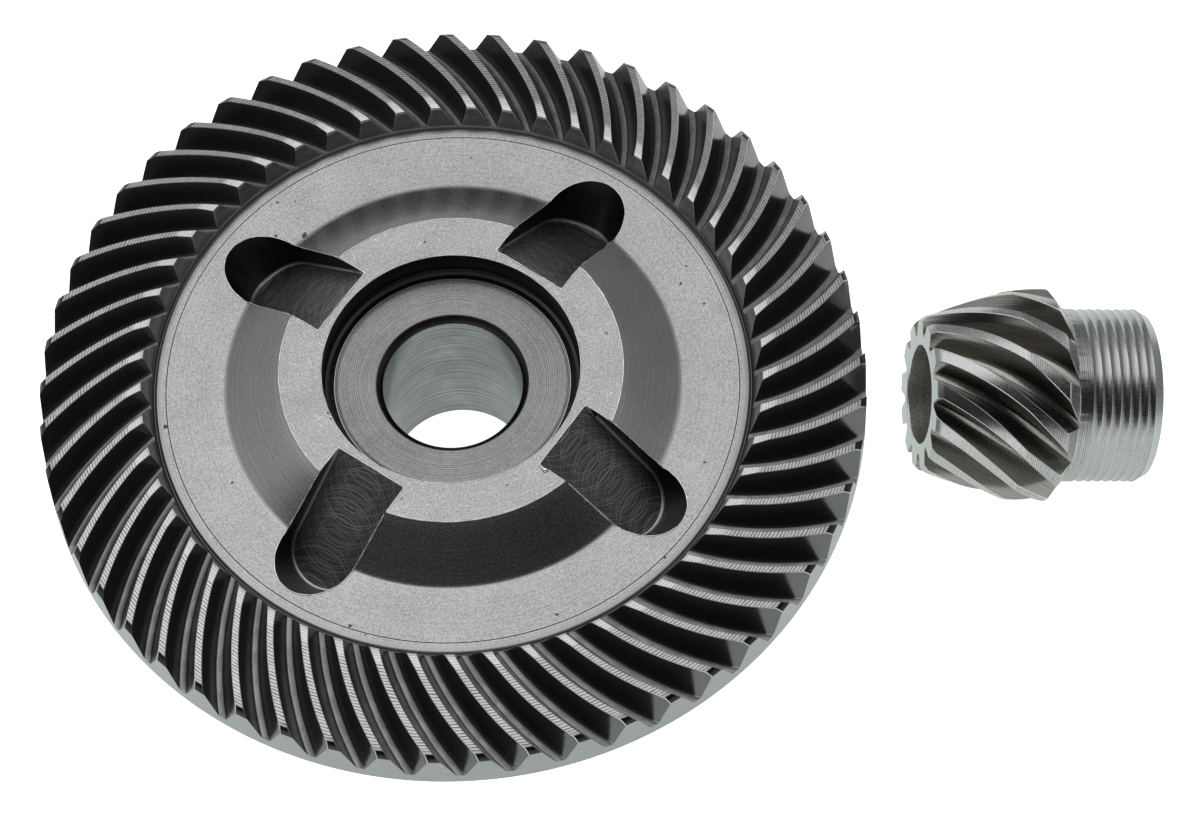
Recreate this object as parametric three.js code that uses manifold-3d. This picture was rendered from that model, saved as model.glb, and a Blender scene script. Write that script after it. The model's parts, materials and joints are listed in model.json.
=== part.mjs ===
// Spiral bevel gear pair of a large angle grinder: a crown wheel lying on its
// hub, teeth up, and its pinion lying beside it, small end towards the wheel.
// Millimetres, +Z up. The pair stands on Z = 0, centred on the origin.
import * as THREE from 'three';
import { mergeVertices } from 'three/addons/utils/BufferGeometryUtils.js';
import Module from 'manifold-3d';

// Gear set
const WHEEL_TEETH = 53;
const PINION_TEETH = 13;
const CUTTER_RADIUS = 31.75;
const MEAN_CONE_DISTANCE = 37.2;
const MEAN_SPIRAL = THREE.MathUtils.degToRad(34);
const WHEEL_PITCH_CONE = Math.atan2(WHEEL_TEETH, PINION_TEETH);
const PINION_PITCH_CONE = Math.PI / 2 - WHEEL_PITCH_CONE;

// Crown wheel: heights are measured from the bottom of its hub
const RING_Z = 19.4;
const BOSS_TOP_Z = RING_Z + 3.35;
const SEAT_Z = RING_Z + 0.3;
const RIM_BOTTOM_Z = RING_Z - 4.9;
const WEB_BOTTOM_Z = 10.2;
const OUTER_RADIUS = 41.4;
const RING_RADIUS = 29.65;
const BOSS_FOOT_RADIUS = 22.8;
const BOSS_TOP_RADIUS = 17.15;
const COUNTERBORE_RADIUS = 12.9;
const BORE_RADIUS = 7.0;
const BORE_CHAMFER = 0.7;
const HUB_RADIUS = 14.5;
const TOOTH_ROOT_IN = [30.1, RING_Z + 0.15];
const TOOTH_ROOT_OUT = [OUTER_RADIUS, RING_Z - 3.2];
const TOOTH_TIP_IN = [30.95, RING_Z + 2.25];
const TOOTH_FACET = [32.5, RING_Z + 2.22];
const TOOTH_TIP_OUT = [40.9, RING_Z + 0.36];
const WHEEL_PHASE = THREE.MathUtils.degToRad(1.6);

// Four pockets milled with a tilted end mill
const POCKET_COUNT = 4;
const POCKET_RADIUS = 4.0;
const POCKET_TILT = THREE.MathUtils.degToRad(35.5);
const POCKET_START = 13.5;
const POCKET_RUN = 9.5;
const POCKET_ANGLE = THREE.MathUtils.degToRad(52.8);

// Pinion: lengths are measured from its toe face
const PINION_LENGTH = 23.2;
const PINION_BORE_RADIUS = 5.0;
const TOE_CHAMFER = 0.5;
const TOE_ROOT_RADIUS = 6.0;
const HEEL_ROOT_RADIUS = 8.5;
const TOE_TIP_RADIUS = 7.95;
const BEND_TIP_RADIUS = 10.62;
const HEEL_TIP_RADIUS = 10.82;
const BEND_S = 8.9;
const HEEL_S = 12.8;
const SHOULDER_S = 14.4;
const PINION_HUB_RADIUS = 8.8;
const RIDGE_COUNT = 7;
const RIDGE_PITCH = 0.94;
const RIDGE_DEPTH = 0.28;
const PINION_PHASE = THREE.MathUtils.degToRad(10.6);
const PINION_TILT = THREE.MathUtils.degToRad(10.8);
const PINION_YAW = THREE.MathUtils.degToRad(2.3);
const TOE_FROM_WHEEL_AXIS = 46.9;
const PINION_SIDE_OFFSET = -0.36;

const wasm = await Module();
wasm.setup();

function toSolid(geometry) {
  const bare = geometry.clone();
  bare.deleteAttribute('normal');
  bare.deleteAttribute('uv');
  const merged = mergeVertices(bare, 1e-4);
  return new wasm.Manifold(new wasm.Mesh({
    numProp: 3,
    vertProperties: new Float32Array(merged.attributes.position.array),
    triVerts: new Uint32Array(merged.index.array),
  }));
}

function toGeometry(solid) {
  const mesh = solid.getMesh();
  const geometry = new THREE.BufferGeometry();
  geometry.setAttribute('position', new THREE.BufferAttribute(mesh.vertProperties, 3));
  geometry.setIndex(new THREE.BufferAttribute(mesh.triVerts, 1));
  geometry.computeVertexNormals();
  return geometry;
}

// A turned blank about Z from a closed loop of [radius, height] corners.
function turned(profile, segments) {
  const loop = [...profile, profile[0]].map(([r, z]) => new THREE.Vector2(r, z));
  const geometry = new THREE.LatheGeometry(loop, segments);
  geometry.rotateX(Math.PI / 2);
  return toSolid(geometry);
}

// A closed bar through rings of corners, one ring per station.
function bar(stations) {
  const corners = stations[0].length;
  const last = (stations.length - 1) * corners;
  const index = [];
  for (let j = 0; j < stations.length - 1; j += 1) {
    for (let k = 0; k < corners; k += 1) {
      const a = j * corners + k;
      const b = j * corners + (k + 1) % corners;
      index.push(a, b, b + corners, a, b + corners, a + corners);
    }
  }
  for (let k = 1; k < corners - 1; k += 1) {
    index.push(0, k + 1, k);
    index.push(last, last + k, last + k + 1);
  }
  const geometry = new THREE.BufferGeometry().setFromPoints(stations.flat());
  geometry.setIndex(index);
  return toSolid(geometry);
}

// The tooth trace is one arc of the face-mill cutter on the unrolled pitch
// cone; this is how far it has turned about the gear's axis.
function traceAngle(coneDistance, pitchCone) {
  const centre = Math.sqrt(
    MEAN_CONE_DISTANCE ** 2 + CUTTER_RADIUS ** 2
    - 2 * MEAN_CONE_DISTANCE * CUTTER_RADIUS * Math.sin(MEAN_SPIRAL));
  const along = (d) => Math.acos((d * d + centre * centre - CUTTER_RADIUS ** 2) / (2 * d * centre));
  return (along(MEAN_CONE_DISTANCE) - along(coneDistance)) / Math.sin(pitchCone);
}

function lineAt([x0, y0], [x1, y1], x) {
  return y0 + (y1 - y0) * (x - x0) / (x1 - x0);
}

function polar(radius, angle, height) {
  return new THREE.Vector3(radius * Math.cos(angle), radius * Math.sin(angle), height);
}

// Width of a tooth gap as a share of the pitch, at its root and at the wheel's
// tips; each flank of the pinion opens by a share of the pitch per millimetre.
const GAP_AT_ROOT = 0.18;
const GAP_AT_TIP = 0.81;
const TOE_FLANK_SLOPE = 0.118;
const HEEL_FLANK_SLOPE = 0.0976;
const CUT_CLEARANCE = 1.6;

function wheelGap() {
  const pitch = 2 * Math.PI / WHEEL_TEETH;
  const first = TOOTH_ROOT_IN[0] - 1.2;
  const stations = 6;
  const step = (OUTER_RADIUS + 0.8 - first) / (stations - 1);
  return bar(Array.from({ length: stations }, (_, j) => {
    const r = first + j * step;
    const root = lineAt(TOOTH_ROOT_IN, TOOTH_ROOT_OUT, r);
    const tip = lineAt(TOOTH_FACET, TOOTH_TIP_OUT, r);
    const spread = (GAP_AT_TIP - GAP_AT_ROOT) / (tip - root);
    const bottom = GAP_AT_ROOT * pitch / 2;
    const top = (GAP_AT_TIP + spread * CUT_CLEARANCE) * pitch / 2;
    const turn = WHEEL_PHASE + pitch / 2 + traceAngle(r / Math.sin(WHEEL_PITCH_CONE), WHEEL_PITCH_CONE);
    const roof = tip + CUT_CLEARANCE;
    return [
      polar(r, turn - bottom, root),
      polar(r, turn + bottom, root),
      polar(r, turn + top, roof),
      polar(r, turn - top, roof),
    ];
  }));
}

function tipRadius(s) {
  return s < BEND_S
    ? lineAt([TOE_CHAMFER, TOE_TIP_RADIUS], [BEND_S, BEND_TIP_RADIUS], s)
    : lineAt([BEND_S, BEND_TIP_RADIUS], [HEEL_S, HEEL_TIP_RADIUS], s);
}

function pinionGap() {
  const pitch = 2 * Math.PI / PINION_TEETH;
  const stations = 10;
  const first = -0.8;
  const step = (SHOULDER_S + 0.6 - first) / (stations - 1);
  const toe = MEAN_CONE_DISTANCE - HEEL_S / 2 / Math.cos(PINION_PITCH_CONE);
  return bar(Array.from({ length: stations }, (_, j) => {
    const s = first + j * step;
    const root = lineAt([0, TOE_ROOT_RADIUS], [HEEL_S, HEEL_ROOT_RADIUS], s);
    const slope = lineAt([0, TOE_FLANK_SLOPE], [HEEL_S, HEEL_FLANK_SLOPE], s);
    const roof = tipRadius(s) + CUT_CLEARANCE / 2;
    const bottom = GAP_AT_ROOT * pitch / 2;
    const top = bottom + slope * pitch * (roof - root);
    const turn = PINION_PHASE + pitch / 2
      + traceAngle(toe + s / Math.cos(PINION_PITCH_CONE), PINION_PITCH_CONE);
    return [
      polar(root, turn - bottom, s),
      polar(roof, turn - top, s),
      polar(roof, turn + top, s),
      polar(root, turn + bottom, s),
    ];
  }));
}

function cutAround(blank, cutter, count) {
  let solid = blank;
  for (let i = 0; i < count; i += 1) {
    solid = solid.subtract(cutter.rotate([0, 0, i * 360 / count]));
  }
  return solid;
}

// One pocket: a slot milled square to a floor that falls away from the boss.
function pocketCutter() {
  const slot = new THREE.Shape();
  slot.moveTo(-9, -POCKET_RADIUS);
  slot.lineTo(POCKET_RUN, -POCKET_RADIUS);
  slot.absarc(POCKET_RUN, 0, POCKET_RADIUS, -Math.PI / 2, Math.PI / 2, false);
  slot.lineTo(-9, POCKET_RADIUS);
  slot.closePath();
  const geometry = new THREE.ExtrudeGeometry(slot, { depth: 20, bevelEnabled: false, curveSegments: 14 });
  geometry.rotateY(POCKET_TILT);
  geometry.translate(POCKET_START, 0, BOSS_TOP_Z);
  geometry.rotateZ(POCKET_ANGLE);
  return toSolid(geometry);
}

function crownWheel() {
  const blank = turned([
    [BORE_RADIUS + BORE_CHAMFER, 0],
    [HUB_RADIUS - 0.8, 0],
    [HUB_RADIUS, 0.8],
    [HUB_RADIUS, WEB_BOTTOM_Z],
    [27, WEB_BOTTOM_Z],
    [33.5, RIM_BOTTOM_Z],
    [OUTER_RADIUS - 0.3, RIM_BOTTOM_Z],
    [OUTER_RADIUS, RIM_BOTTOM_Z + 0.3],
    [OUTER_RADIUS, RING_Z - 0.15],
    TOOTH_TIP_OUT,
    TOOTH_FACET,
    TOOTH_TIP_IN,
    [TOOTH_ROOT_IN[0], RING_Z - 0.1],
    [RING_RADIUS + 0.2, RING_Z - 0.35],
    [RING_RADIUS, RING_Z],
    [BOSS_FOOT_RADIUS, RING_Z],
    [BOSS_TOP_RADIUS, BOSS_TOP_Z],
    [COUNTERBORE_RADIUS, BOSS_TOP_Z],
    [COUNTERBORE_RADIUS, SEAT_Z],
    [BORE_RADIUS + BORE_CHAMFER, SEAT_Z],
    [BORE_RADIUS, SEAT_Z - BORE_CHAMFER],
    [BORE_RADIUS, BORE_CHAMFER],
  ], 2 * WHEEL_TEETH);
  const toothed = cutAround(blank, wheelGap(), WHEEL_TEETH);
  return toGeometry(cutAround(toothed, pocketCutter(), POCKET_COUNT));
}

// Seven rounded turning ridges round the pinion's hub.
function hubRidges() {
  const corners = [];
  const start = SHOULDER_S + 1.4;
  for (let i = 0; i < RIDGE_COUNT; i += 1) {
    corners.push([PINION_HUB_RADIUS, start + i * RIDGE_PITCH]);
    corners.push([PINION_HUB_RADIUS - RIDGE_DEPTH, start + (i + 0.35) * RIDGE_PITCH]);
  }
  corners.push([PINION_HUB_RADIUS, start + RIDGE_COUNT * RIDGE_PITCH - 0.2]);
  return corners;
}

function pinion() {
  const blank = turned([
    [PINION_BORE_RADIUS + 0.25, 0],
    [TOE_TIP_RADIUS - 0.45, 0],
    [TOE_TIP_RADIUS, TOE_CHAMFER],
    [BEND_TIP_RADIUS, BEND_S],
    [HEEL_TIP_RADIUS, HEEL_S],
    [PINION_HUB_RADIUS, SHOULDER_S],
    ...hubRidges(),
    [PINION_HUB_RADIUS - 0.55, PINION_LENGTH],
    [PINION_BORE_RADIUS + 0.4, PINION_LENGTH],
    [PINION_BORE_RADIUS, PINION_LENGTH - 0.4],
    [PINION_BORE_RADIUS, 0.25],
  ], 4 * PINION_TEETH);
  return toGeometry(cutAround(blank, pinionGap(), PINION_TEETH));
}

const steel = (color, roughness) => new THREE.MeshStandardMaterial({ color, roughness, metalness: 1 });

const wheelMesh = new THREE.Mesh(crownWheel(), steel(0x9a9c9e, 0.42));
wheelMesh.name = 'crown_wheel';

// The pinion is turned about Z, then laid down with its toe towards the wheel.
const pinionMesh = new THREE.Mesh(pinion(), steel(0x8d9190, 0.38));
pinionMesh.name = 'pinion';
pinionMesh.rotation.set(0, Math.PI / 2 + PINION_TILT, PINION_YAW, 'ZYX');
pinionMesh.position.set(TOE_FROM_WHEEL_AXIS, PINION_SIDE_OFFSET, 0);
pinionMesh.updateMatrixWorld(true);
pinionMesh.position.z = -new THREE.Box3().setFromObject(pinionMesh, true).min.z;

const pair = new THREE.Group();
pair.name = 'bevel_gear_pair';
pair.add(wheelMesh, pinionMesh);
pair.updateMatrixWorld(true);
const middle = new THREE.Box3().setFromObject(pair, true).getCenter(new THREE.Vector3());
pair.position.set(-middle.x, -middle.y, 0);

export default pair;
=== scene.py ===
import json
import math
from functools import partial

import bpy
import numpy as np
from mathutils import Matrix, Vector


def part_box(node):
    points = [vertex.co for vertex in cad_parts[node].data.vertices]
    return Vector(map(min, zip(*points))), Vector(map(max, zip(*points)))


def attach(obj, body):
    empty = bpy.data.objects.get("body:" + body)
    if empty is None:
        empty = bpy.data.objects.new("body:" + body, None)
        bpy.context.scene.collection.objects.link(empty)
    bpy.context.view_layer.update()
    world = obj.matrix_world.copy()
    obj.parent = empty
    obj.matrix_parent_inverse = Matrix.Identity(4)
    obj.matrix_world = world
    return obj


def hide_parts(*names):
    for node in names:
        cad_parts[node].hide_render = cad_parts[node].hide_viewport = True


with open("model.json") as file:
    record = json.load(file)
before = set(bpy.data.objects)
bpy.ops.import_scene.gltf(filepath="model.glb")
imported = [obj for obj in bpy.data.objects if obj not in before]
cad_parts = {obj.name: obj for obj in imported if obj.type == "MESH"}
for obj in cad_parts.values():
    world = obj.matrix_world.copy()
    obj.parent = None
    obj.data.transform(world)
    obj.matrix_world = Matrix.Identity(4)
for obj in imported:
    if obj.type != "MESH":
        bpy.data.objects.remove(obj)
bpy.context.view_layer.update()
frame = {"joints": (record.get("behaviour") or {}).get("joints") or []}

MM = 0.001
TAU = 2 * math.pi

# Gear set, in millimetres and radians, as in the CAD
WHEEL_TEETH = 53
PINION_TEETH = 13
CUTTER_RADIUS = 31.75
MEAN_CONE_DISTANCE = 37.2
MEAN_SPIRAL = math.radians(34)
WHEEL_PITCH_CONE = math.atan2(WHEEL_TEETH, PINION_TEETH)
PINION_PITCH_CONE = math.pi / 2 - WHEEL_PITCH_CONE
WHEEL_PHASE = math.radians(1.6)
PINION_PHASE = math.radians(10.6)

# Crown wheel: radii, and heights from the bottom of its hub. A line is two (radius, height) points.
RING_Z = 19.4
BOSS_TOP_Z = RING_Z + 3.35
SEAT_Z = RING_Z + 0.3
RIM_BOTTOM_Z = RING_Z - 4.9
WEB_BOTTOM_Z = 10.2
OUTER_RADIUS = 41.4
TEETH_START = 30.1
BOSS_FOOT_RADIUS = 22.8
BOSS_TOP_RADIUS = 17.15
COUNTERBORE_RADIUS = 12.9
BORE_RADIUS = 7.0
BORE_CHAMFER = 0.7
HUB_RADIUS = 14.5
CONE_LINE = ((BOSS_TOP_RADIUS, BOSS_TOP_Z), (BOSS_FOOT_RADIUS, RING_Z))
ROOT_LINE = ((TEETH_START, RING_Z + 0.15), (OUTER_RADIUS, RING_Z - 3.2))
TIP_LINE = ((32.5, RING_Z + 2.22), (40.9, RING_Z + 0.36))
TOOTH_END_LINE = ((TEETH_START, RING_Z - 0.1), (30.95, RING_Z + 2.25))

# Pockets, milled with a tilted end mill
POCKET_COUNT = 4
POCKET_STEP = TAU / POCKET_COUNT
POCKET_RADIUS = 4.0
POCKET_TILT = math.radians(35.5)
POCKET_START = 13.5
POCKET_RUN = 9.5
POCKET_OPEN_END = -9.0
POCKET_ANGLE = math.radians(52.8)

# Pinion: radii, and lengths s from its toe face. A line is two (s, radius) points.
PINION_LENGTH = 23.2
PINION_BORE_RADIUS = 5.0
PINION_HUB_RADIUS = 8.8
BEND_S = 8.9
HEEL_S = 12.8
SHOULDER_S = 14.4
BEND_TIP_RADIUS = 10.62
HEEL_TIP_RADIUS = 10.82
PINION_ROOT = ((0, 6.0), (HEEL_S, 8.5))
PINION_TOE_TIP = ((0.5, 7.95), (BEND_S, BEND_TIP_RADIUS))
PINION_HEEL_TIP = ((BEND_S, BEND_TIP_RADIUS), (HEEL_S, HEEL_TIP_RADIUS))
PINION_HEEL_END = ((HEEL_S, HEEL_TIP_RADIUS), (SHOULDER_S, PINION_HUB_RADIUS))
PINION_FLANK_LEAN = ((0, 0.118), (HEEL_S, 0.0976))      # (s, pitches per millimetre of height)
RIDGE_START = SHOULDER_S + 1.4
RIDGE_COUNT = 7
RIDGE_PITCH = 0.94
RIDGE_DEPTH = 0.13


def trace_angle(cone_distance, pitch_cone):
    """How far the tooth trace, an arc of the face-mill cutter, has turned about the gear's axis."""
    centre = math.sqrt(MEAN_CONE_DISTANCE ** 2 + CUTTER_RADIUS ** 2
                       - 2 * MEAN_CONE_DISTANCE * CUTTER_RADIUS * math.sin(MEAN_SPIRAL))

    def along(d):
        return math.acos((d * d + centre * centre - CUTTER_RADIUS ** 2) / (2 * d * centre))
    return (along(MEAN_CONE_DISTANCE) - along(cone_distance)) / math.sin(pitch_cone)


def line_at(line, x):
    (x0, y0), (x1, y1) = line
    return y0 + (y1 - y0) * (x - x0) / (x1 - x0)


def slope_of(line):
    (x0, y0), (x1, y1) = line
    return (y1 - y0) / (x1 - x0)


def wheel_place():
    """The crown wheel's own frame: its axis is Z, and its hub stands on zero."""
    low, high = (Vector(corner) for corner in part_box("crown_wheel"))
    return Matrix.Translation(((low.x + high.x) / 2, (low.y + high.y) / 2, low.z))


def pinion_place():
    """The pinion's own frame: Z runs from toe to hub, and X points down."""
    joint = next(j for j in frame["joints"] if j["name"] == "pinion_spin")
    along = Vector(joint["axis"]).normalized()
    down = Vector((0, 0, -1))
    local_x = (down - down.dot(along) * along).normalized()
    turned = Matrix((local_x, along.cross(local_x), along)).transposed().to_4x4()
    return Matrix.Translation(Vector(joint["pos_m"])) @ turned


WHEEL_PLACE = wheel_place()
PINION_PLACE = pinion_place()


def placed(points, place):
    """Millimetres in a gear's own frame become metres in the row frame."""
    matrix = np.array(place)
    return (np.asarray([tuple(p) for p in points]) * MM @ matrix[:3, :3].T + matrix[:3, 3]).tolist()


def linked_object(name, mesh):
    piece = bpy.data.objects.new(name, mesh)
    bpy.context.scene.collection.objects.link(piece)
    return piece


# ---------------------------------------------------------------- materials

class Graph:
    """A few short calls for wiring a shader."""

    def __init__(self, tree):
        self.tree = tree

    def node(self, kind, **fields):
        made = self.tree.nodes.new("ShaderNode" + kind)
        for key, value in fields.items():
            setattr(made, key, value)
        return made

    def feed(self, socket, value):
        if isinstance(value, bpy.types.NodeSocket):
            self.tree.links.new(value, socket)
        else:
            socket.default_value = value

    def math(self, operation, *values, clamp=False):
        made = self.node("Math", operation=operation, use_clamp=clamp)
        for socket, value in zip(made.inputs, values):
            self.feed(socket, value)
        return made.outputs[0]

    def ramp(self, value, low, high, to_low=0.0, to_high=1.0, smooth=True):
        made = self.node("MapRange", interpolation_type="SMOOTHSTEP" if smooth else "LINEAR")
        for socket, given in zip(made.inputs, (value, low, high, to_low, to_high)):
            self.feed(socket, given)
        return made.outputs[0]

    def noise(self, scale, detail=2.0, roughness=0.5, vector=None, w=None):
        made = self.node("TexNoise", noise_dimensions="1D" if w is not None else "3D")
        if w is not None:
            self.feed(made.inputs["W"], w)
        else:
            self.feed(made.inputs["Vector"], vector)
        made.inputs["Scale"].default_value = scale
        made.inputs["Detail"].default_value = detail
        made.inputs["Roughness"].default_value = roughness
        return made.outputs["Fac"]

    def spread(self, value, amount):
        """value around a half becomes a share of plus or minus amount."""
        return self.math("MULTIPLY", self.math("SUBTRACT", value, 0.5), 2 * amount)

    def without(self, value, share):
        """value with a share of it taken away."""
        return self.math("MULTIPLY", value, self.math("SUBTRACT", 1.0, share))


def gear_mm(g, place):
    """The gear's own coordinates in millimetres, and the distance from its axis."""
    from_axis = g.node("VectorMath", operation="SUBTRACT")
    g.feed(from_axis.inputs[0], g.node("TexCoord").outputs["Object"])
    from_axis.inputs[1].default_value = place.translation
    joined = g.node("CombineXYZ")
    for i in range(3):
        part = g.node("VectorMath", operation="DOT_PRODUCT")
        g.feed(part.inputs[0], from_axis.outputs[0])
        part.inputs[1].default_value = place.col[i].to_3d() / MM
        g.feed(joined.inputs[i], part.outputs["Value"])
    split = g.node("SeparateXYZ")
    g.feed(split.inputs[0], joined.outputs[0])
    x, y, z = split.outputs
    radius = g.math("SQRT", g.math("ADD", g.math("MULTIPLY", x, x), g.math("MULTIPLY", y, y)))
    return joined.outputs[0], x, y, z, radius


MILL_ARCS = ((3.7, 1.0), (2.1, 0.8))        # (radius in millimetres, how strongly it shows)
MILL_GRAIN = 5.5                            # per millimetre
MILL_CREST = (0.58, 0.70)
MILL_TONE = 2.4


def mill_arcs(g, x, y, z, radius):
    """Overlapping arcs left by the end mill on a pocket's floor, 0 to 1."""
    angle = g.math("ARCTAN2", y, x)
    from_edge = g.math("SUBTRACT", angle, POCKET_ANGLE - POCKET_STEP / 2)
    folded = g.math("SUBTRACT", g.math("FLOORED_MODULO", from_edge, POCKET_STEP), POCKET_STEP / 2)
    out = g.math("MULTIPLY", radius, g.math("COSINE", folded))
    across = g.math("MULTIPLY", radius, g.math("SINE", folded))
    along = g.math("SUBTRACT",
                   g.math("MULTIPLY", g.math("SUBTRACT", out, POCKET_START), math.cos(POCKET_TILT)),
                   g.math("MULTIPLY", g.math("SUBTRACT", z, BOSS_TOP_Z), math.sin(POCKET_TILT)))
    lines = None
    for mill, share in MILL_ARCS:
        left = g.math("SUBTRACT", mill * mill, g.math("MULTIPLY", across, across))
        reach = g.math("SQRT", g.math("MAXIMUM", left, 0.0))
        inside = g.ramp(reach, 0.02, 0.6)
        for sign in ("ADD", "SUBTRACT"):
            fine = g.noise(MILL_GRAIN, 2.0, 0.75, w=g.math(sign, along, reach))
            crest = g.math("MULTIPLY", g.ramp(fine, *MILL_CREST), share)
            crest = g.math("MULTIPLY", crest, inside)
            lines = crest if lines is None else g.math("MAXIMUM", lines, crest)
    return lines


def across_marks(g, turned, z, radius):
    """The coordinate that changes across the tool marks. A slope follows a tooth's root line."""
    if turned in ("r", "z"):
        return radius if turned == "r" else z
    main, slope = turned
    first, second = (z, radius) if main == "z" else (radius, z)
    return g.math("SUBTRACT", first, g.math("MULTIPLY", second, slope))


def hatching(g, point, across, pitch):
    """Even lines at the tool's pitch, 0 to 1, a little broken up."""
    wave = g.math("SINE", g.math("MULTIPLY", across, TAU / pitch))
    uneven = g.ramp(g.noise(1.3, 2.0, vector=point), 0.3, 0.65, 0.6, 1.0)
    return g.math("MULTIPLY", g.ramp(wave, -0.2, 0.75), uneven)


SCRATCH_RUNS = ((0.5, 0.0), (1.9, 7.0), (2.7, 13.0))     # (direction in radians, offset in millimetres)
SCRATCH_STRETCH = (1.8, 0.2, 1.0)
SCRATCH_EDGE = (0.68, 0.74)


def scratch_lines(g, point, direction, offset):
    """Short thin scores in one direction, 0 to 1."""
    mapping = g.node("Mapping", vector_type="TEXTURE")
    g.feed(mapping.inputs["Vector"], point)
    mapping.inputs["Location"].default_value = (offset, offset, 0)
    mapping.inputs["Rotation"].default_value = (0, 0, direction)
    mapping.inputs["Scale"].default_value = SCRATCH_STRETCH
    return g.ramp(g.noise(1.0, 1.0, 0.5, vector=mapping.outputs[0]), *SCRATCH_EDGE)


FINE_GRAIN = 5.5            # per millimetre
BROAD_GRAIN = 0.22
SPECK_GRAIN = 0.85
SPECK_EDGE = (0.765, 0.79)
WANDER_GRAIN = 0.5
ROUGHNESS_SPREAD = 0.12
DARKEST = 0.02
RELIEF_DEPTH = 0.02 * MM


def steel(place, name, colour, rough, turned=None, pitch=0.3, streak=0.1, hatch=0.0, grain=0.05,
          mottle=0.05, specks=0.0, scratches=0.0, bump=0.2, milled=False, metallic=1.0):
    """Machined steel. turned is the direction across which the tool marks change: "r" for a faced
    or coned surface, "z" for a cylinder, (axis, slope) along a tooth. Sizes are in millimetres."""
    material = bpy.data.materials.new(name)
    material.use_nodes = True
    g = Graph(material.node_tree)
    shader = material.node_tree.nodes["Principled BSDF"]
    point, x, y, z, radius = gear_mm(g, place)
    fine = g.noise(FINE_GRAIN, 3.0, 0.7, vector=point)
    broad = g.noise(BROAD_GRAIN, 3.0, 0.55, vector=point)
    tone = g.math("ADD", g.spread(fine, grain * 2), g.spread(broad, mottle * 2))
    height = g.math("MULTIPLY", fine, 0.4)
    if turned:
        wander = g.math("MULTIPLY", g.noise(WANDER_GRAIN, 1.0, vector=point), pitch)
        across = g.math("ADD", across_marks(g, turned, z, radius), wander)
        marks = g.noise(1.0 / pitch, 2.5, 0.7, w=across)
        tone = g.math("ADD", tone, g.spread(marks, streak * 2))
        height = g.math("ADD", height, marks)
        if hatch:
            tone = g.math("SUBTRACT", tone, g.math("MULTIPLY", hatching(g, point, across, pitch), hatch))
    if milled:
        lines = mill_arcs(g, x, y, z, radius)
        tone = g.math("ADD", tone, g.math("MULTIPLY", lines, MILL_TONE))
        height = g.math("ADD", height, lines)
    level = g.math("ADD", tone, 1.0)
    if specks:
        spots = g.ramp(g.noise(SPECK_GRAIN, 1.0, 0.4, vector=point), *SPECK_EDGE)
        level = g.without(level, g.math("MULTIPLY", spots, specks))
    if scratches:
        for direction, offset in SCRATCH_RUNS:
            lines = scratch_lines(g, point, direction, offset)
            level = g.math("ADD", level, g.math("MULTIPLY", lines, scratches))
    tint = g.node("VectorMath", operation="SCALE")
    tint.inputs[0].default_value = colour
    g.feed(tint.inputs["Scale"], g.math("MAXIMUM", level, DARKEST))
    g.feed(shader.inputs["Base Color"], tint.outputs[0])
    uneven = g.spread(fine, ROUGHNESS_SPREAD)
    g.feed(shader.inputs["Roughness"], g.math("ADD", uneven, rough, clamp=True))
    shader.inputs["Metallic"].default_value = metallic
    relief = g.node("Bump")
    relief.inputs["Strength"].default_value = bump
    relief.inputs["Distance"].default_value = RELIEF_DEPTH
    g.feed(relief.inputs["Height"], height)
    g.feed(shader.inputs["Normal"], relief.outputs[0])
    return material


def look(*values, **more):
    """One finish: steel's arguments after its name."""
    return values, more


def finishes(place, looks):
    return {name: steel(place, name, *values, **more) for name, (values, more) in looks.items()}


WHEEL_ALONG = ("z", slope_of(ROOT_LINE))
PINION_ALONG = ("r", slope_of(PINION_ROOT))

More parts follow.
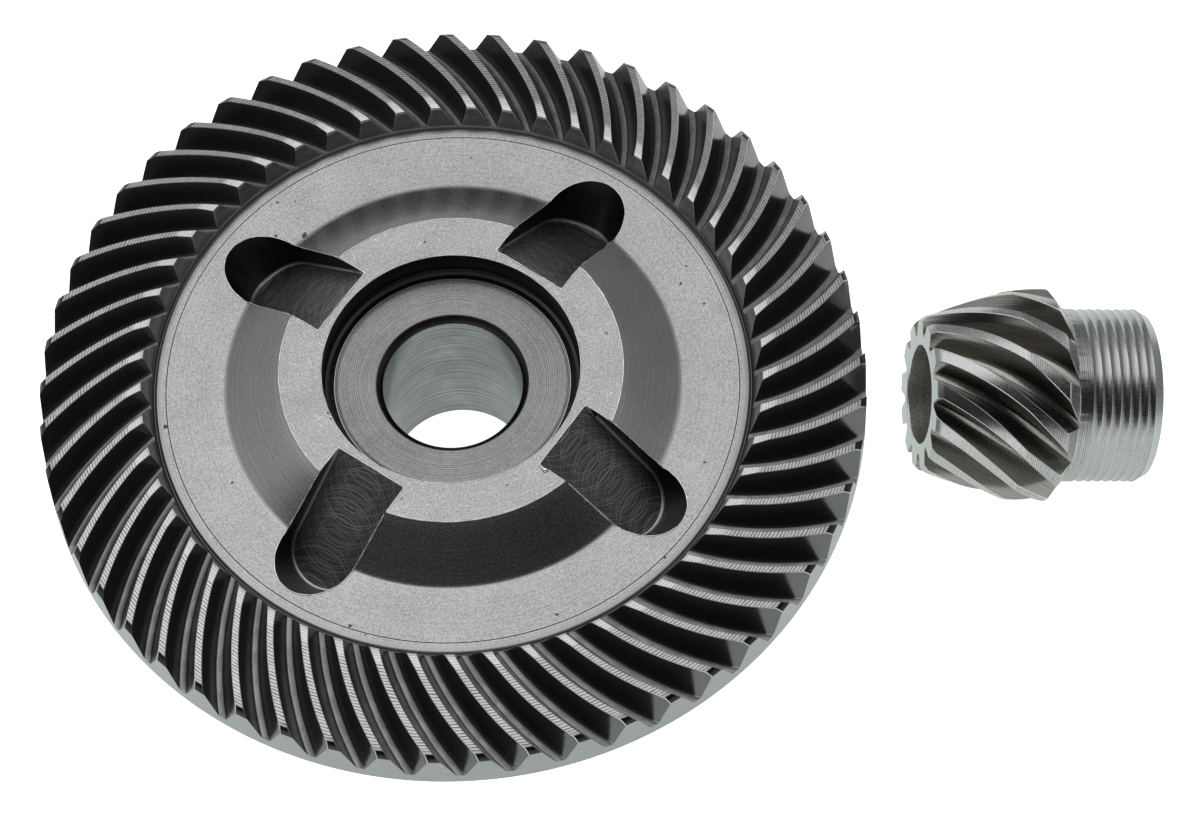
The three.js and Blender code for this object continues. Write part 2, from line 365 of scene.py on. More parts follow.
WHEEL_FINISHES = finishes(WHEEL_PLACE, {
    "ring": look((0.475, 0.475, 0.478), 0.36, "r", 0.22, 0.12, grain=0.5, mottle=0.07, specks=0.8),
    "land": look((0.66, 0.66, 0.655), 0.34, "r", 0.29, 0.08, hatch=0.75, grain=0.2),
    "facet": look((0.68, 0.68, 0.68), 0.34, "r", 0.29, 0.1, hatch=0.3, grain=0.2),
    # edge: thin bands of lighter steel along edges and in the seat's fine rings, a painted highlight.
    "edge": look((0.60, 0.60, 0.59), 0.30),
    # flank: a very dark base colour on the tooth flanks, painted shade.
    "flank": look((0.15, 0.152, 0.145), 0.22, grain=0.15, metallic=0.85),
    "root": look((0.33, 0.33, 0.325), 0.34, WHEEL_ALONG, 0.13, 0.45, grain=0.25),
    "tooth_end": look((0.34, 0.34, 0.34), 0.34, "r", 0.25, 0.2, grain=0.2),
    # groove: a dark base colour in the grooves and the step before the teeth, painted shade.
    "groove": look((0.14, 0.14, 0.14), 0.38, "r", 0.2, 0.3),
    "step": look((0.42, 0.42, 0.43), 0.36, "r", 0.25, 0.2, grain=0.25),
    "cone": look((0.455, 0.457, 0.457), 0.25, "r", 0.22, 0.14, grain=0.2, hatch=0.15, bump=0.06),
    "boss": look((0.47, 0.47, 0.47), 0.36, "r", 0.25, 0.07, grain=0.55, mottle=0.1, scratches=0.3,
                 specks=0.7),
    # wall: near-black on the counterbore wall and the hollow at its foot, painted shade.
    "wall": look((0.06, 0.06, 0.06), 0.36, "z", 0.25, 0.2),
    "seat": look((0.31, 0.315, 0.325), 0.32, "r", 0.22, 0.2, grain=0.3, mottle=0.1, hatch=0.4),
    # chamfer: near-black on the bore's chamfers and the teeth's outer chamfers, painted shade.
    "chamfer": look((0.07, 0.07, 0.07), 0.30, "r", 0.16, 0.5),
    "bore": look((0.27, 0.285, 0.275), 0.27, "z", 0.35, 0.45, grain=0.15, mottle=0.3),
    "pocket_floor": look((0.19, 0.19, 0.19), 0.36, grain=0.25, milled=True),
    # pocket_edge: a lighter band where a pocket's floor meets its wall, a painted highlight.
    "pocket_edge": look((0.42, 0.42, 0.42), 0.34, grain=0.25),
    # pocket_wall: near-black on the pockets' walls, painted shade.
    "pocket_wall": look((0.05, 0.05, 0.055), 0.38),
    "rim": look((0.33, 0.345, 0.338), 0.30, "z", 0.3, 0.06, grain=0.15),
    "back": look((0.40, 0.40, 0.40), 0.38, "r", 0.3, 0.12),
    "hub": look((0.42, 0.42, 0.42), 0.36, "z", 0.3, 0.12),
})

PINION_FINISHES = finishes(PINION_PLACE, {
    "p_land": look((0.50, 0.50, 0.50), 0.24, "z", 0.22, 0.08, hatch=0.5, grain=0.25),
    "p_cone": look((0.48, 0.485, 0.485), 0.22, "z", 0.25, 0.08, grain=0.28),
    # p_edge: thin bands of lighter steel along the pinion's edges, a painted highlight.
    "p_edge": look((0.66, 0.66, 0.65), 0.30),
    "p_flank": look((0.31, 0.30, 0.28), 0.22, PINION_ALONG, 0.22, 0.22, grain=0.2),
    "p_root": look((0.40, 0.39, 0.375), 0.26, PINION_ALONG, 0.12, 0.5, grain=0.2),
    "p_toe": look((0.50, 0.53, 0.52), 0.30, "r", 0.3, 0.08, grain=0.1),
    "p_heel": look((0.44, 0.44, 0.44), 0.30, "z", 0.2, 0.2, grain=0.2),
    "p_fine": look((0.47, 0.475, 0.475), 0.26, "z", 0.21, 0.15, hatch=0.5, grain=0.2),
    "p_hub": look((0.46, 0.47, 0.47), 0.25, "z", 0.21, 0.15, hatch=0.2, grain=0.2),
    "p_bore": look((0.44, 0.43, 0.41), 0.5, "z", 0.35, 0.2, grain=0.6),
})

# The burrs and the chip are white, glossy steel, brighter than the wheel: a painted highlight along the
# edges.
BURR_HIGHLIGHT_STEEL = steel(WHEEL_PLACE, "burr", (1.0, 1.0, 0.99), 0.16, bump=0.05)


# ---------------------------------------------------------------- toothed skins

FLANK_FOOT = 0.41      # where the straight flank would meet the root, in pitches from the tooth's middle
FLANK_SPAN = 0.315     # how far the flank runs, in pitches, from root line to tip line
FILLET_START = 0.375
FILLET_PITCHES = (FILLET_START, 0.392, 0.405, 0.42, 0.45, 0.5)
FILLET_HEIGHTS = ((FLANK_FOOT - FILLET_START) / FLANK_SPAN, 0.064, 0.032, 0.008, 0.0, 0.0)
ROOT_COLUMNS = (0.5, 0.462, 0.42, 0.402, 0.385)
EDGE_IN = 0.011
EDGE_OUT = 0.005
LEAST_HEIGHT = 0.03    # share of a tooth's height that is left where it is cut lowest
FOOT_GAP = 0.012       # least distance from the land's edge to the foot, in pitches
FOOT_STEP = 0.004
LAND_COLUMNS = 4
CIRCLE_LAND = 0.2      # the land that spaces the columns of a ring without teeth
SHARP_DEGREES = 24
PINION_SHARP_DEGREES = 22
BURR_SHARP_DEGREES = 60


def flank_height(p):
    """Share of the tooth's height at p pitches from its middle, with a fillet at the root."""
    straight = (FLANK_FOOT - p) / FLANK_SPAN
    return np.where(p < FILLET_START, straight, np.interp(p, FILLET_PITCHES, FILLET_HEIGHTS))


class Toothed:
    """A closed skin made of rings of points, with teeth in some of them."""

    def __init__(self, teeth, phase, flank_points, finishes):
        self.teeth = teeth
        self.phase = phase
        self.flank_points = flank_points
        self.names = list(finishes)
        self.finishes = finishes
        self.half = len(ROOT_COLUMNS) + flank_points + LAND_COLUMNS
        self.columns = 2 * (self.half - 1)
        self.rings = []
        self.bands = []

    def half_positions(self, land):
        """Distances from the tooth's middle, root to middle, in pitches."""
        foot = [max(p, land + FOOT_GAP + FOOT_STEP * i) for i, p in enumerate(reversed(ROOT_COLUMNS))][::-1]
        top = land + EDGE_OUT
        flank = [foot[-1] + (top - foot[-1]) * (i + 1) / (self.flank_points + 1)
                 for i in range(self.flank_points)]
        return np.array(foot + flank + [top, land - EDGE_IN, land / 2, 0.0])

    def column_angles(self, land, turn):
        side = self.half_positions(land)
        p = np.concatenate([-side, side[-2:0:-1]])
        index = np.arange(self.teeth)[:, None]
        return np.abs(p), ((index + p[None, :]) * TAU / self.teeth + self.phase + turn).ravel()

    def add_tooth_ring(self, root, tip, blank, turn, place, bands):
        """place(values, angles) turns heights or radii into points."""
        share = max((blank - root) / (tip - root), LEAST_HEIGHT)
        land = FLANK_FOOT - FLANK_SPAN * share
        p, angles = self.column_angles(land, turn)
        height = np.minimum(root + (tip - root) * flank_height(p), blank)
        self.rings.append(place(np.tile(height, self.teeth), angles))
        self.bands.append(bands)

    def add_circle(self, radius, along, turn, band):
        _, angles = self.column_angles(CIRCLE_LAND, turn)
        self.rings.append(np.stack([radius * np.cos(angles), radius * np.sin(angles),
                                    np.full_like(angles, along)], axis=1))
        self.bands.append(band)

    def band_row(self, band):
        """Material index of each column, for a plain band or for (land, edge, flank, root)."""
        if isinstance(band, str):
            return np.full(self.columns * self.teeth, self.names.index(band))
        land, edge, flank, root = (self.names.index(name) for name in band)
        side = [root] * 3 + [flank] * (self.flank_points + 2) + [edge] + [land] * 2
        return np.tile(np.array(side + side[::-1]), self.teeth)

    def build(self, name, place):
        count = self.columns * self.teeth
        total = len(self.rings)
        ring = np.arange(total)[:, None]
        column = np.arange(count)[None, :]
        after = (ring + 1) % total
        beside = (column + 1) % count
        faces = np.stack([ring * count + column, ring * count + beside,
                          after * count + beside, after * count + column], axis=-1).reshape(-1, 4)
        mesh = bpy.data.meshes.new(name)
        mesh.from_pydata(placed(np.concatenate(self.rings), place), [], faces.tolist())
        for finish in self.finishes.values():
            mesh.materials.append(finish)
        indices = np.concatenate([self.band_row(band) for band in self.bands])
        mesh.polygons.foreach_set("material_index", indices)
        mesh.update()
        return linked_object(name, mesh)


def finish_shading(mesh, degrees=SHARP_DEGREES):
    mesh.polygons.foreach_set("use_smooth", np.ones(len(mesh.polygons), dtype=bool))
    mesh.set_sharp_from_angle(angle=math.radians(degrees))
    mesh.update()


# ---------------------------------------------------------------- crown wheel

TOOTH_END = ("tooth_end", "edge", "flank", "root")
FACET = ("facet", "edge", "flank", "root")
LAND = ("land", "edge", "flank", "root")
TIP_CHAMFER = ("chamfer", "edge", "flank", "root")


def wheel_turn(radius):
    return trace_angle(radius / math.sin(WHEEL_PITCH_CONE), WHEEL_PITCH_CONE)


def wheel_points(radius, heights, angles):
    return np.stack([radius * np.cos(angles), radius * np.sin(angles), heights], axis=1)


def bore_and_seat():
    """(radius, height, finish) up the bore and out over the seat, with a fine groove near its edge."""
    return [
        (BORE_RADIUS, BORE_CHAMFER, "bore"), (BORE_RADIUS, 6.0, "bore"), (BORE_RADIUS, 12.5, "bore"),
        (BORE_RADIUS, SEAT_Z - BORE_CHAMFER - 0.05, "edge"),
        (BORE_RADIUS + 0.05, SEAT_Z - BORE_CHAMFER + 0.02, "chamfer"),
        (BORE_RADIUS + BORE_CHAMFER - 0.06, SEAT_Z - 0.06, "edge"),
        (BORE_RADIUS + BORE_CHAMFER + 0.05, SEAT_Z, "seat"), (9.5, SEAT_Z, "seat"),
        (11.53, SEAT_Z, "seat"), (11.58, SEAT_Z - 0.03, "groove"), (11.63, SEAT_Z - 0.03, "edge"),
        (11.68, SEAT_Z, "groove"), (11.79, SEAT_Z, "edge"), (11.84, SEAT_Z, "groove"),
    ]


def boss():
    """(radius, height, finish) up the counterbore, over the boss and down its cone."""
    return [
        (12.10, SEAT_Z - 0.14, "wall"), (12.45, SEAT_Z - 0.18, "wall"), (12.75, SEAT_Z - 0.05, "wall"),
        (COUNTERBORE_RADIUS, SEAT_Z + 0.25, "wall"), (COUNTERBORE_RADIUS, BOSS_TOP_Z - 1.5, "wall"),
        (COUNTERBORE_RADIUS, BOSS_TOP_Z - 0.09, "edge"), (COUNTERBORE_RADIUS + 0.07, BOSS_TOP_Z, "boss"),
        (14.5, BOSS_TOP_Z, "boss"), (16.0, BOSS_TOP_Z, "boss"),
        (BOSS_TOP_RADIUS - 0.06, BOSS_TOP_Z, "edge"), (BOSS_TOP_RADIUS + 0.05, BOSS_TOP_Z - 0.05, "cone"),
        *((radius, line_at(CONE_LINE, radius), "cone") for radius in (18.4, 20.0, 21.4, 22.45)),
        (22.68, RING_Z + 0.085, "cone"),
    ]


def flat_ring():
    """(radius, height, finish) from the boss to the step in front of the teeth."""
    return [
        (22.9, RING_Z + 0.015, "ring"), (23.1, RING_Z, "ring"), (25.0, RING_Z, "ring"),
        (27.0, RING_Z, "ring"), (28.66, RING_Z, "groove"), (28.70, RING_Z - 0.03, "groove"),
        (28.76, RING_Z, "ring"), (29.15, RING_Z, "step"), (29.45, RING_Z - 0.02, "step"),
        (29.62, RING_Z - 0.06, "step"), (29.72, RING_Z - 0.2, "groove"),
        (29.84, RING_Z - 0.34, "groove"), (29.92, RING_Z - 0.34, "groove"),
    ]


def wheel_teeth():
    """(radius, height of the turned blank, finishes of the band that starts here)."""
    return [
        *((r, line_at(TOOTH_END_LINE, r), TOOTH_END)
          for r in (TEETH_START, 30.19, 30.35, 30.55, 30.75, 30.87)),
        (30.93, RING_Z + 2.14, TOOTH_END), (31.01, RING_Z + 2.215, FACET), (31.12, RING_Z + 2.245, FACET),
        *((r, RING_Z + 2.25 - 0.02 * (r - 31), FACET) for r in (31.6, 32.1)),
        (32.45, RING_Z + 2.22, LAND),
        *((r, line_at(TIP_LINE, r), LAND) for r in (32.9, 33.8, 34.7, 35.6, 36.5, 37.4, 38.3, 39.2, 40.1)),
        (40.8, line_at(TIP_LINE, 40.8), TIP_CHAMFER), (40.92, RING_Z + 0.33, TIP_CHAMFER),
        (41.34, RING_Z - 0.08, TIP_CHAMFER), (OUTER_RADIUS, RING_Z - 0.18, "rim"),
    ]


def wheel_back():
    """(radius, height, finish) down the rim, under the web and down the hub to the bore."""
    return [
        (OUTER_RADIUS, RING_Z - 3.34, "rim"), (OUTER_RADIUS, RIM_BOTTOM_Z + 0.3, "edge"),
        (OUTER_RADIUS - 0.3, RIM_BOTTOM_Z, "back"), (37.0, RIM_BOTTOM_Z, "back"),
        (33.6, RIM_BOTTOM_Z, "back"), (33.3, RIM_BOTTOM_Z - 0.12, "back"), (30.2, 12.3, "back"),
        (27.2, WEB_BOTTOM_Z + 0.1, "back"), (26.8, WEB_BOTTOM_Z, "back"), (21.0, WEB_BOTTOM_Z, "back"),
        (HUB_RADIUS + 0.8, WEB_BOTTOM_Z, "back"), (HUB_RADIUS + 0.24, WEB_BOTTOM_Z - 0.24, "back"),
        (HUB_RADIUS, WEB_BOTTOM_Z - 0.8, "hub"), (HUB_RADIUS, 5.0, "hub"), (HUB_RADIUS, 0.85, "edge"),
        (HUB_RADIUS - 0.75, 0.03, "edge"), (HUB_RADIUS - 0.9, 0.0, "back"), (11.0, 0.0, "back"),
        (BORE_RADIUS + BORE_CHAMFER + 0.05, 0.0, "edge"),
        (BORE_RADIUS + BORE_CHAMFER - 0.05, 0.05, "chamfer"),
    ]


def wheel_skin():
    skin = Toothed(WHEEL_TEETH, WHEEL_PHASE, 3, WHEEL_FINISHES)
    inner_turn = wheel_turn(TEETH_START)
    outer_turn = wheel_turn(OUTER_RADIUS)
    for radius, height, band in bore_and_seat() + boss() + flat_ring():
        skin.add_circle(radius, height, inner_turn, band)
    for radius, blank, bands in wheel_teeth():
        skin.add_tooth_ring(line_at(ROOT_LINE, radius), line_at(TIP_LINE, radius), blank,
                            wheel_turn(radius), partial(wheel_points, radius), bands)

    # The columns keep their turn down the rim and unwind under the wheel.
    back = wheel_back()
    for index, (radius, height, band) in enumerate(back):
        share = (index + 1) / (len(back) + 1)
        unwound = 0 if height > RIM_BOTTOM_Z + 0.2 else share
        skin.add_circle(radius, height, outer_turn + (inner_turn - outer_turn) * unwound, band)
    return skin


# ---------------------------------------------------------------- pockets

FLOOR_STEPS = 6
CUTTER_TOP = 15.0
CUTTER_RINGS = (                # (height over the floor, inset, finish of the band that starts here)
    (0.0, 0.22, "pocket_edge"), (0.07, 0.07, "pocket_edge"), (0.22, 0.0, "pocket_wall"),
    (CUTTER_TOP, 0.0, None),
)


def pocket_angle(k):
    return POCKET_ANGLE + k * POCKET_STEP


def pocket_point(u, v, w, angle):
    """A point of a pocket: u down its floor, v across, w square to the floor."""
    x = POCKET_START + u * math.cos(POCKET_TILT) + w * math.sin(POCKET_TILT)
    z = BOSS_TOP_Z - u * math.sin(POCKET_TILT) + w * math.cos(POCKET_TILT)
    return (x * math.cos(angle) - v * math.sin(angle), x * math.sin(angle) + v * math.cos(angle), z)


def pocket_loop(inset, arc=40):
    """The slot's outline, as (u, v), from its open end round the far end and back."""
    width = POCKET_RADIUS - inset
    straight = [POCKET_RUN * i / FLOOR_STEPS for i in range(FLOOR_STEPS)]
    loop = [(POCKET_OPEN_END, -width)] + [(u, -width) for u in straight]
    for i in range(arc + 1):
        a = -math.pi / 2 + math.pi * i / arc
        loop.append((POCKET_RUN + width * math.cos(a), width * math.sin(a)))
    return loop + [(u, width) for u in reversed(straight)] + [(POCKET_OPEN_END, width)]


def pocket_cutters(names):
    points, faces, mats = [], [], []
    count = len(pocket_loop(0))
    for k in range(POCKET_COUNT):
        start = len(points)
        for w, inset, _ in CUTTER_RINGS:
            points += [pocket_point(u, v, w, pocket_angle(k)) for u, v in pocket_loop(inset)]
        for i, (_, _, band) in enumerate(CUTTER_RINGS[:-1]):
            for j in range(count):
                a, b = start + i * count + j, start + i * count + (j + 1) % count
                faces.append((a, b, b + count, a + count))
                mats.append(names.index(band))
        faces.append(tuple(start + j for j in range(count))[::-1])
        mats.append(names.index("pocket_floor"))
        top = start + (len(CUTTER_RINGS) - 1) * count
        faces.append(tuple(top + j for j in range(count)))
        mats.append(names.index("pocket_wall"))
    mesh = bpy.data.meshes.new("cutters")
    mesh.from_pydata(placed(points, WHEEL_PLACE), [], faces)
    for finish in WHEEL_FINISHES.values():
        mesh.materials.append(finish)
    mesh.polygons.foreach_set("material_index", mats)
    mesh.update()
    return linked_object("cutters", mesh)


def cut_pockets(piece):
    cutters = pocket_cutters(list(WHEEL_FINISHES))
    cut = piece.modifiers.new("pockets", "BOOLEAN")
    cut.operation = "DIFFERENCE"
    cut.object = cutters
    cut.solver = "MANIFOLD"
    bpy.context.view_layer.update()
    depsgraph = bpy.context.evaluated_depsgraph_get()
    whole = bpy.data.meshes.new_from_object(piece.evaluated_get(depsgraph))
    piece.modifiers.clear()
    piece.data = whole
    bpy.data.objects.remove(cutters)


wheel = wheel_skin().build("crown_wheel_steel", WHEEL_PLACE)
cut_pockets(wheel)
finish_shading(wheel.data)
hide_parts("crown_wheel")
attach(wheel, "wheel")


# ---------------------------------------------------------------- burrs left along the machined edges, in white steel as a painted highlight

BURR_SIDES = 6
BURR_LEAST, BURR_SWING, BURR_POWER = 0.25, 1.1, 1.5
BURR_STEP = 0.3             # along a circle
MOUTH_STEP = 0.25           # along a pocket's mouth
MOUTH_ARC = 60
MOUTH_SEARCH = (-0.01, 14.0)
MOUTH_HALVINGS = 40
MOUTH_BURR = 0.09           # thicknesses
BOSS_BURR = 0.10
COUNTERBORE_BURR = 0.06
CHIP = 0.26
CHIP_RUN = (0.0, 1.6)       # along the pocket's side, down its floor
CHIP_STEPS = 5
CHIP_OUT, CHIP_UP = 0.18, 0.03
MOUTH_SEED = 20
BOSS_SEED = 40
COUNTERBORE_SEED = 50
CHIP_SEED = 60


def boss_surface(radius):
    """Height of the boss's top, its cone or the ring at this radius."""
    if radius < BOSS_TOP_RADIUS:
        return BOSS_TOP_Z
    if radius > BOSS_FOOT_RADIUS:
        return RING_Z
    return line_at(CONE_LINE, radius)


def mouth_point(u, v, angle):
    """Where the pocket's wall comes out of the boss, found by halving."""
    inside, outside = MOUTH_SEARCH
    for _ in range(MOUTH_HALVINGS):
        middle = (inside + outside) / 2
        x, y, z = pocket_point(u, v, middle, angle)
        if z < boss_surface(math.hypot(x, y)):
            inside = middle
        else:
            outside = middle
    return Vector(pocket_point(u, v, outside, angle))


def mouth_loop(angle):
    """The edge where a pocket opens through the boss, its cone and the ring."""
    edge = [mouth_point(u, v, angle) for u, v in pocket_loop(0.0, MOUTH_ARC) if u >= 0]
    dense = []
    for a, b in zip(edge, edge[1:] + edge[:1]):
        steps = max(1, int((b - a).length / MOUTH_STEP))
        dense += [a.lerp(b, i / steps) for i in range(steps)]
    return dense


def gaps_between_pockets(radius):
    """Spans of angle round the boss that no pocket breaks, at this radius on its top."""
    half = math.asin(POCKET_RADIUS / radius)
    return [(pocket_angle(k) + half, pocket_angle(k + 1) - half) for k in range(POCKET_COUNT)]


def circle_path(radius, height):
    count = int(TAU * radius / BURR_STEP)
    return [Vector((radius * math.cos(TAU * i / count), radius * math.sin(TAU * i / count), height))
            for i in range(count)]


def there_and_back(path):
    return path + [spot.copy() for spot in path[-2:0:-1]]


def arc_path(radius, height, span):
    count = int((span[1] - span[0]) * radius / BURR_STEP)
    angles = [span[0] + (span[1] - span[0]) * i / count for i in range(count + 1)]
    return there_and_back([Vector((radius * math.cos(a), radius * math.sin(a), height)) for a in angles])


def chip_path():
    """The raised lip beside one pocket, along its side."""
    start, end = (Vector(pocket_point(u, -POCKET_RADIUS - CHIP_OUT, 0.0, pocket_angle(-1))) for u in CHIP_RUN)
    start.z = end.z = BOSS_TOP_Z + CHIP_UP
    return there_and_back([start.lerp(end, i / CHIP_STEPS) for i in range(CHIP_STEPS + 1)])


def add_burr(path, thickness, seed, points, faces):
    """Adds a fine tube of uneven thickness round a closed path."""
    rng = np.random.default_rng(seed)
    count, sides = len(path), BURR_SIDES
    uneven = np.convolve(np.tile(rng.random(count), 3), np.ones(3) / 3, "same")[count:2 * count]
    start = len(points)
    for i, spot in enumerate(path):
        ahead = (path[(i + 1) % count] - path[i - 1]).normalized()
        side = ahead.cross(Vector((0, 0, 1))).normalized()
        up = side.cross(ahead)
        radius = thickness * (BURR_LEAST + BURR_SWING * float(uneven[i]) ** BURR_POWER)
        for k in range(sides):
            a = TAU * k / sides
            points.append(spot + radius * (math.cos(a) * side + math.sin(a) * up))
    for i in range(count):
        here, there = start + i * sides, start + (i + 1) % count * sides
        for k in range(sides):
            beside = (k + 1) % sides
            faces.append((here + k, here + beside, there + beside, there + k))


def edge_burrs():
    """One skin for the burrs of the pockets' mouths, the boss and the counterbore, and the chip."""
    points, faces = [], []
    for k in range(POCKET_COUNT):
        add_burr(mouth_loop(pocket_angle(k)), MOUTH_BURR, MOUTH_SEED + k, points, faces)
    for k, span in enumerate(gaps_between_pockets(BOSS_TOP_RADIUS)):
        add_burr(arc_path(BOSS_TOP_RADIUS, BOSS_TOP_Z - 0.01, span), BOSS_BURR, BOSS_SEED + k,
                 points, faces)
    add_burr(circle_path(COUNTERBORE_RADIUS + 0.02, BOSS_TOP_Z - 0.02), COUNTERBORE_BURR,
             COUNTERBORE_SEED, points, faces)
    add_burr(chip_path(), CHIP, CHIP_SEED, points, faces)
    mesh = bpy.data.meshes.new("edge_burrs")
    mesh.from_pydata(placed(points, WHEEL_PLACE), [], faces)
    mesh.materials.append(BURR_HIGHLIGHT_STEEL)
    mesh.update()
    piece = linked_object("edge_burrs", mesh)
    finish_shading(mesh, BURR_SHARP_DEGREES)
    return piece


burrs = edge_burrs()
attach(burrs, "wheel")


# ---------------------------------------------------------------- pinion

PINION_CONE = ("p_cone", "p_edge", "p_flank", "p_root")
PINION_LAND = ("p_land", "p_edge", "p_flank", "p_root")
PINION_TOE = ("p_toe", "p_edge", "p_flank", "p_root")
PINION_HEEL = ("p_heel", "p_edge", "p_flank", "p_root")
UNWIND_RINGS = 4


def pinion_turn(s):
    toe = MEAN_CONE_DISTANCE - HEEL_S / 2 / math.cos(PINION_PITCH_CONE)
    return trace_angle(toe + s / math.cos(PINION_PITCH_CONE), PINION_PITCH_CONE)


def pinion_points(s, radii, angles):
    return np.stack([radii * np.cos(angles), radii * np.sin(angles), np.full_like(angles, s)], axis=1)


def pinion_toe():
    """(radius, s, finish) from the bore's edge out over the toe face."""
    return [
        (PINION_BORE_RADIUS, 0.16, "p_edge"), (PINION_BORE_RADIUS + 0.04, 0.06, "p_edge"),
        (PINION_BORE_RADIUS + 0.14, 0.0, "p_toe"), (5.7, 0.0, "p_toe"),
    ]


def pinion_teeth():
    """(s, radius of the turned blank, finishes of the band that starts here)."""
    return [
        (0.0, 7.5, PINION_TOE), (0.12, 7.62, PINION_TOE), (0.38, 7.85, PINION_TOE),
        (0.56, 7.96, PINION_CONE),
        *((s, line_at(PINION_TOE_TIP, s), PINION_CONE)
          for s in (0.9, 1.5, 2.2, 3.0, 3.8, 4.6, 5.4, 6.2, 7.0, 7.8, 8.4)),
        *((s, line_at(PINION_HEEL_TIP, s), PINION_LAND) for s in (BEND_S, 9.4, 10.2, 11.0, 11.8, 12.4)),
        (12.74, line_at(PINION_HEEL_TIP, 12.74), PINION_HEEL), (12.86, 10.74, PINION_HEEL),
        *((s, line_at(PINION_HEEL_END, s), PINION_HEEL)
          for s in (13.1, 13.4, 13.65, 13.9, 14.1, 14.25, 14.34)),
    ]


def pinion_hub():
    """(radius, s, finish) along the hub's turned ridges, then over its end and into the bore.
    The hollows between the ridges are shallower here than in the CAD."""
    end = RIDGE_START + RIDGE_COUNT * RIDGE_PITCH - 0.16
    rows = [(PINION_HUB_RADIUS + 0.01, SHOULDER_S + 0.05, "p_fine"),
            (PINION_HUB_RADIUS, RIDGE_START - 0.1, "p_hub")]
    for i in range(RIDGE_COUNT):
        for t in (0.0, 0.06, 0.18, 0.34, 0.5, 0.66, 0.82, 0.94):
            hollow = RIDGE_DEPTH * (1 - (2 * t - 1) ** 2)
            rows.append((PINION_HUB_RADIUS - hollow, RIDGE_START + (i + t) * RIDGE_PITCH, "p_hub"))
    return [row for row in rows if row[1] < end] + [
        (PINION_HUB_RADIUS, end, "p_edge"), (PINION_HUB_RADIUS - 0.12, end + 0.06, "p_toe"),
        (PINION_HUB_RADIUS - 0.5, PINION_LENGTH - 0.05, "p_edge"),
        (PINION_HUB_RADIUS - 0.6, PINION_LENGTH, "p_toe"),
        (PINION_BORE_RADIUS + 0.45, PINION_LENGTH, "p_edge"),
        (PINION_BORE_RADIUS + 0.05, PINION_LENGTH - 0.4, "p_edge"),
        (PINION_BORE_RADIUS, PINION_LENGTH - 0.5, "p_bore"), (PINION_BORE_RADIUS, 16.0, "p_bore"),
        (PINION_BORE_RADIUS, 8.0, "p_bore"),
    ]


def pinion_skin():
    skin = Toothed(PINION_TEETH, PINION_PHASE, 7, PINION_FINISHES)
    toe_turn = pinion_turn(0.0)
    heel_turn = pinion_turn(SHOULDER_S)
    for radius, s, band in pinion_toe():
        skin.add_circle(radius, s, toe_turn, band)
    for s, blank, bands in pinion_teeth():
        root = line_at(PINION_ROOT, s)
        tip = root + FLANK_SPAN / line_at(PINION_FLANK_LEAN, s)
        skin.add_tooth_ring(root, tip, blank, pinion_turn(s), partial(pinion_points, s), bands)

    # The columns keep their turn along the hub and unwind over its last rings.
    hub = pinion_hub()
    for index, (radius, s, band) in enumerate(hub):
        unwound = max(0, index - (len(hub) - UNWIND_RINGS)) / UNWIND_RINGS
        skin.add_circle(radius, s, heel_turn + (toe_turn - heel_turn) * unwound, band)
    return skin


pinion = pinion_skin().build("pinion_steel", PINION_PLACE)
finish_shading(pinion.data, PINION_SHARP_DEGREES)
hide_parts("pinion")
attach(pinion, "pinion")


# ---------------------------------------------------------------- studio

FLOOR_HALF = 1.5                        # metres
FLOOR_DROP = 0.00003
FLOOR_GLOW = (0.93, 1.0, 0.96, 1)
FLOOR_LIGHTS, FLOOR_SHOWS = 0.62, 1.15      # strength towards the gears, and towards the camera
SKY_STRENGTH = 1.15
SKY_STOPS = ((0.0, 0.30), (0.4, 0.27), (0.6, 0.38), (0.75, 0.55), (0.86, 0.92), (1.0, 1.0))
SIDE_GAINS = (1.25, 0.8)                # left and right
CARD_NEAR, CARD_LOW, CARD_HIGH = (-0.16, 0.03), (0.30, 0.45), (0.95, 0.995)
CARD_DARKNESS = 0.96
STRIP_NEAR, STRIP_HIGH = (-0.8, -0.4), (0.28, 0.40)
STRIP_GAIN = 2.0

CAMERA_ELEVATION = math.radians(61.94)
CAMERA_ROLL = math.radians(2.85)
# Where the ring's middle lies from the camera, along its own axes, in millimetres
RING_RIGHT, RING_BELOW, RING_AHEAD = -14.74, -3.44, 503.9
CAMERA_LENS = 151.17
CAMERA_SENSOR = 36
CAMERA_CLIP = 0.01


def studio_floor():
    material = bpy.data.materials.new("floor")
    material.use_nodes = True
    shader = material.node_tree.nodes["Principled BSDF"]
    shader.inputs["Base Color"].default_value = (0.8, 0.8, 0.8, 1)
    shader.inputs["Roughness"].default_value = 0.9
    shader.inputs["Emission Color"].default_value = FLOOR_GLOW
    g = Graph(material.node_tree)
    seen = g.node("LightPath").outputs["Is Camera Ray"]
    glow = g.ramp(seen, 0.0, 1.0, FLOOR_LIGHTS, FLOOR_SHOWS, smooth=False)
    g.feed(shader.inputs["Emission Strength"], glow)
    corners = [(x * FLOOR_HALF, y * FLOOR_HALF, 0) for x, y in ((-1, -1), (1, -1), (1, 1), (-1, 1))]
    mesh = bpy.data.meshes.new("floor")
    mesh.from_pydata(corners, [], [(0, 1, 2, 3)])
    mesh.materials.append(material)
    floor = linked_object("floor", mesh)
    floor.location.z = -FLOOR_DROP


def sky_curve(g, z):
    """Brightness against height above the horizon."""
    curve = g.node("FloatCurve")
    spline = curve.mapping.curves[0]
    spline.points[0].location = SKY_STOPS[0]
    spline.points[1].location = SKY_STOPS[-1]
    for stop in SKY_STOPS[1:-1]:
        spline.points.new(*stop)
    curve.mapping.update()
    g.feed(curve.inputs["Value"], g.math("MAXIMUM", z, 0.0))
    return curve.outputs[0]


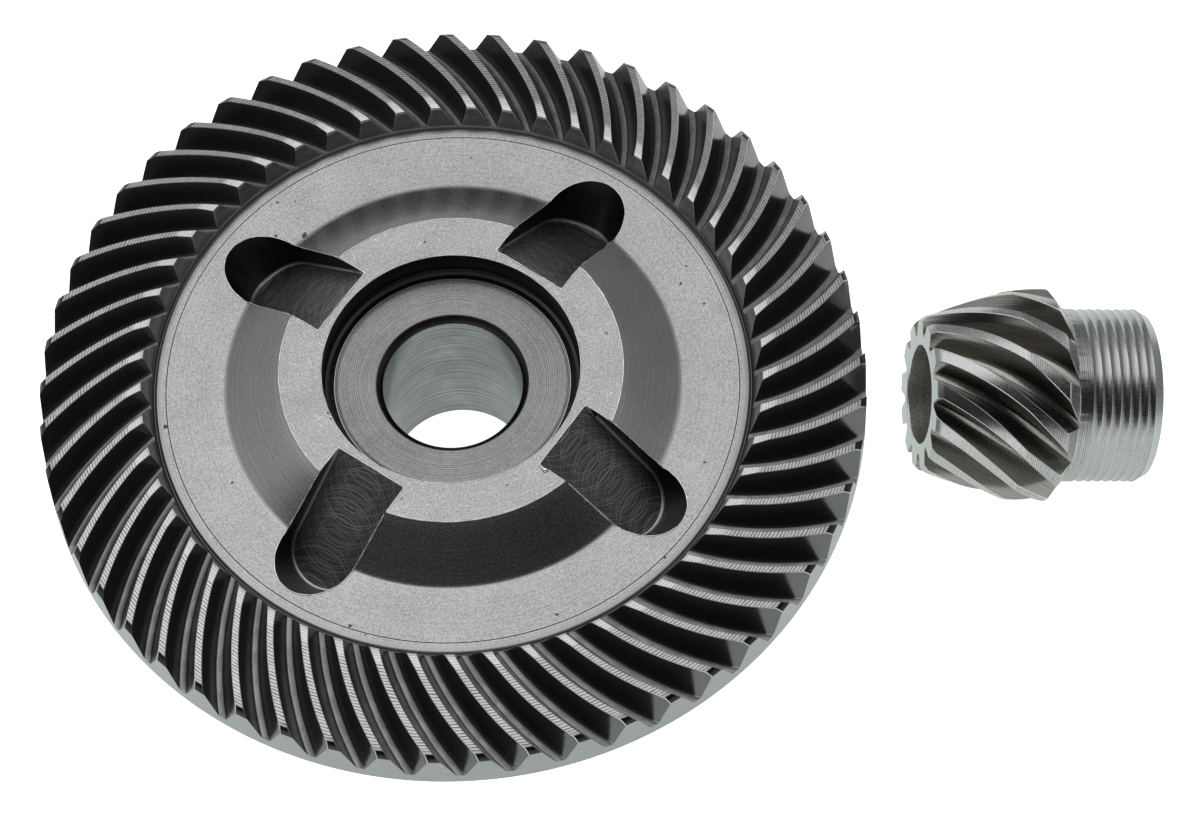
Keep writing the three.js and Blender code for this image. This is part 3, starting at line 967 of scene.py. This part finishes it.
def studio_light():
    """Bright above and behind, grey round the horizon, a dark card on the near side and a lighter
    strip below the card."""
    world = bpy.data.worlds.new("studio")
    bpy.context.scene.world = world
    world.use_nodes = True
    g = Graph(world.node_tree)
    background = world.node_tree.nodes["Background"]
    split = g.node("SeparateXYZ")
    g.feed(split.inputs[0], g.node("TexCoord").outputs["Generated"])
    x, y, z = split.outputs
    near = g.ramp(y, *CARD_NEAR, 1.0, 0.0)
    low_edge = g.ramp(z, *CARD_LOW)
    high_edge = g.ramp(z, *CARD_HIGH, 1.0, 0.0)
    card = g.math("MULTIPLY", g.math("MULTIPLY", near, low_edge), high_edge)
    lit = g.without(sky_curve(g, z), g.math("MULTIPLY", card, CARD_DARKNESS))
    lit = g.math("MULTIPLY", lit, g.ramp(x, -0.3, 0.3, *SIDE_GAINS, smooth=False))
    strip = g.math("MULTIPLY", g.ramp(y, *STRIP_NEAR, 1.0, 0.0), g.ramp(z, *STRIP_HIGH, 1.0, 0.0))
    lit = g.math("MULTIPLY", lit, g.math("ADD", 1.0, g.math("MULTIPLY", strip, STRIP_GAIN)))
    seen = g.node("LightPath").outputs["Is Camera Ray"]
    strength = g.math("ADD", g.without(lit, seen), seen)
    g.feed(background.inputs["Strength"], g.math("MULTIPLY", strength, SKY_STRENGTH))
    background.inputs["Color"].default_value = (1.0, 1.0, 1.0, 1)


def studio_camera():
    """Looks down from the near side, a little rolled, and aims between the ring's middle and the pinion."""
    right = Vector((1, 0, 0))
    below = Vector((0, -math.sin(CAMERA_ELEVATION), -math.cos(CAMERA_ELEVATION)))
    ahead = Vector((0, math.cos(CAMERA_ELEVATION), -math.sin(CAMERA_ELEVATION)))
    turned_right = math.cos(CAMERA_ROLL) * right + math.sin(CAMERA_ROLL) * below
    turned_below = -math.sin(CAMERA_ROLL) * right + math.cos(CAMERA_ROLL) * below
    centre = WHEEL_PLACE.translation + Vector((0, 0, RING_Z * MM))
    to_ring = RING_RIGHT * turned_right + RING_BELOW * turned_below + RING_AHEAD * ahead
    camera = linked_object("camera", bpy.data.cameras.new("camera"))
    rotation = Matrix((turned_right, -turned_below, -ahead)).transposed().to_4x4()
    camera.matrix_world = Matrix.Translation(centre - to_ring * MM) @ rotation
    camera.data.sensor_width = CAMERA_SENSOR
    camera.data.lens = CAMERA_LENS
    camera.data.clip_start = CAMERA_CLIP
    bpy.context.scene.camera = camera


studio_floor()
studio_light()
studio_camera()
bpy.context.scene.view_settings.view_transform = "Standard"
